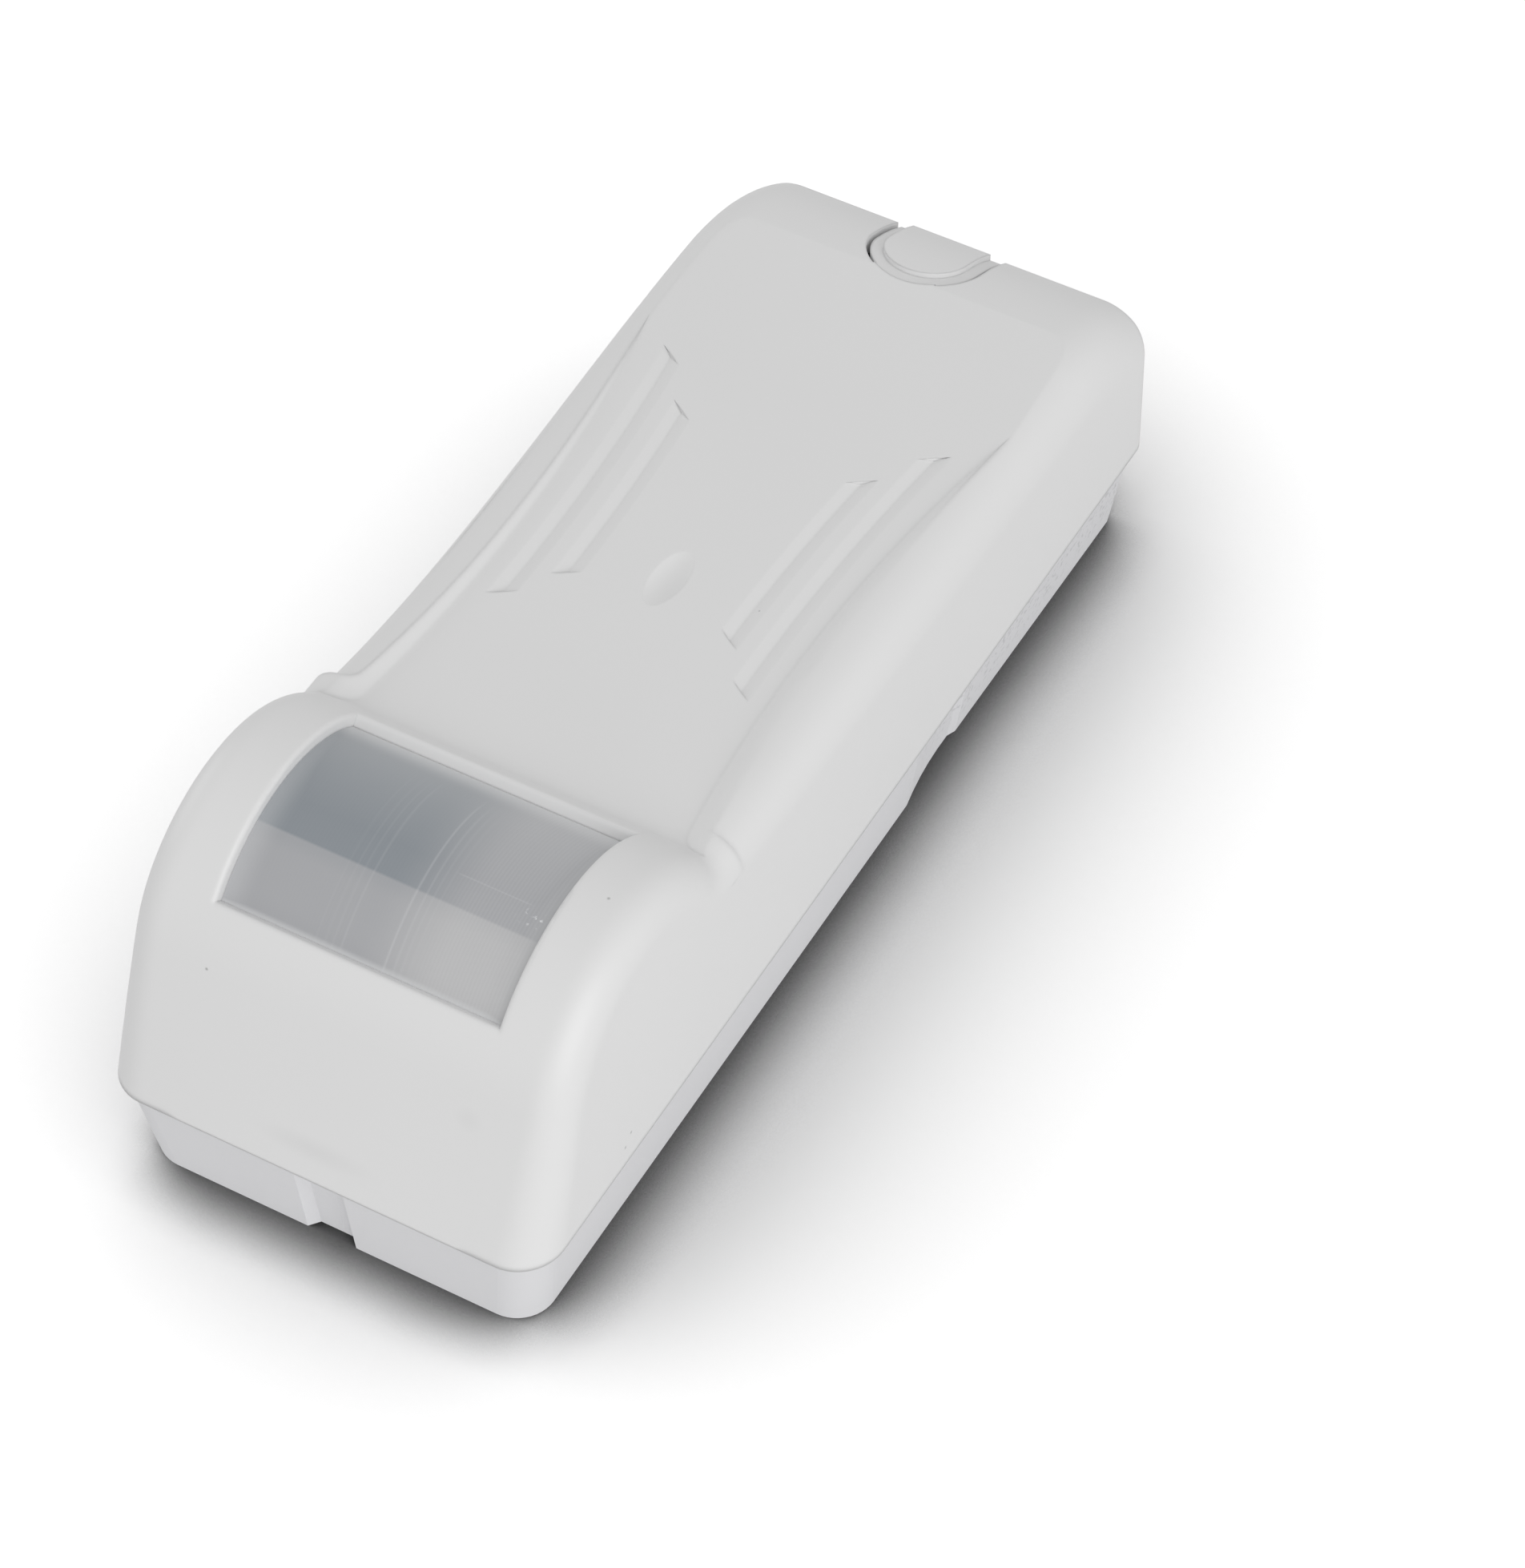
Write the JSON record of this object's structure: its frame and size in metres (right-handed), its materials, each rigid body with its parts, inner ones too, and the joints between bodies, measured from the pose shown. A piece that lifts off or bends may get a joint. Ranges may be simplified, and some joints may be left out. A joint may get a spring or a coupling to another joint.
{
  "type": "curtain motion detector",
  "caption": "Slim curtain motion detector: moulded white cover with curved lens head and waisted panel on a wall tray, with sensor board, terminals and case switch inside.",
  "frame": {"origin": "centre of the back, on the plane that meets the wall", "axes": "+Z out of the front, away from the wall; +Y along the length, from the lens head to the release tongue; +X across the width, right handed"},
  "size_m": [0.0392, 0.1032, 0.0325],
  "materials": {
    "cover_plastic": "satin white ABS",
    "base_plastic": "satin white ABS, a little cooler",
    "lens_sheet": "translucent polyethylene, satin",
    "frame_plastic": "matt light grey ABS",
    "board_laminate": "green solder mask",
    "spacer_plastic": "natural nylon",
    "sensor_metal": "nickel plated",
    "filter_glass": "dark infrared filter",
    "collar_rubber": "soft black foam rubber",
    "led_epoxy": "tinted epoxy",
    "clear_plastic": "clear acrylic",
    "terminal_plastic": "green nylon",
    "plated_steel": "zinc plated",
    "black_plastic": "black thermoplastic",
    "plunger_plastic": "red thermoplastic",
    "relay_plastic": "black moulding",
    "capacitor_sleeve": "dark printed sleeve left plain",
    "chip_epoxy": "moulded epoxy",
    "crystal_metal": "drawn nickel silver",
    "varistor_coating": "blue epoxy dip",
    "gold_pins": "gold flash",
    "jumper_plastic": "red thermoplastic",
    "resistor_ceramic": "dark glaze",
    "capacitor_ceramic": "tan ceramic"
  },
  "bodies": {
    "root": {"front_cover": "cover_plastic", "rear_base": "base_plastic", "fresnel_lens": "lens_sheet", "lens_frame": "frame_plastic", "circuit_board": "board_laminate", "sensor_spacer": "spacer_plastic", "sensor_header": "sensor_metal", "sensor_can": "sensor_metal", "sensor_window": "filter_glass", "insect_collar": "collar_rubber", "status_led": "led_epoxy", "light_pipe": "clear_plastic", "terminal_block": "terminal_plastic", "terminal_clamps": "plated_steel", "terminal_screws": "plated_steel", "tamper_switch_body": "black_plastic", "tamper_plunger": "plunger_plastic", "alarm_relay": "relay_plastic", "electrolytic_capacitors": "capacitor_sleeve", "microcontroller": "chip_epoxy", "amplifier_chip": "chip_epoxy", "voltage_regulator": "chip_epoxy", "crystal": "crystal_metal", "surge_suppressor": "varistor_coating", "jumper_header": "black_plastic", "jumper_pins": "gold_pins", "jumper_caps": "jumper_plastic", "board_screws": "plated_steel", "chip_resistors": "resistor_ceramic", "chip_capacitors": "capacitor_ceramic"}
  },
  "joints": []
}
